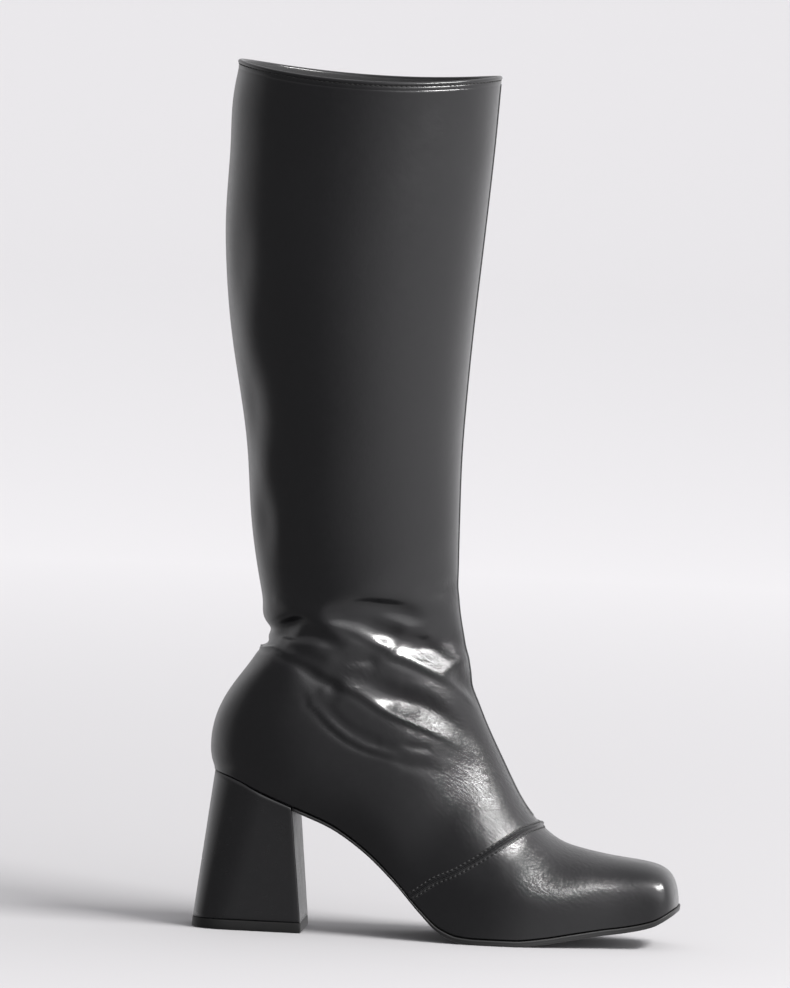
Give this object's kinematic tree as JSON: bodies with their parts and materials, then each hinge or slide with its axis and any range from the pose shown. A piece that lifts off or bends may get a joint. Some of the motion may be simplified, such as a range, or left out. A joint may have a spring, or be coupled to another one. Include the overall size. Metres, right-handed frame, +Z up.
{
  "type": "knee-high boot",
  "caption": "Right-foot knee-high boot with a tall hollow shaft, bound collar, square toe, front and vamp seams, thin sole and flared block heel.",
  "frame": {"origin": "on the floor, under the middle of the boot's bounding box", "axes": "+X towards the toe, +Z up the shaft, -Y the outer side of the foot (right boot)"},
  "size_m": [0.2604, 0.1132, 0.4635],
  "materials": {
    "black_leather": "semi-gloss, smooth, fine grain",
    "heel_wrap": "semi-gloss, wrapped over the heel",
    "sole_rubber": "satin",
    "tip_rubber": "matt",
    "sock_lining": "matt"
  },
  "bodies": {
    "root": {"upper": "black_leather", "vamp_seam": "black_leather", "front_seam": "black_leather", "collar_binding": "black_leather", "insole": "sock_lining", "outsole": "sole_rubber", "heel_block": "heel_wrap", "heel_top_lift": "tip_rubber"}
  },
  "joints": []
}
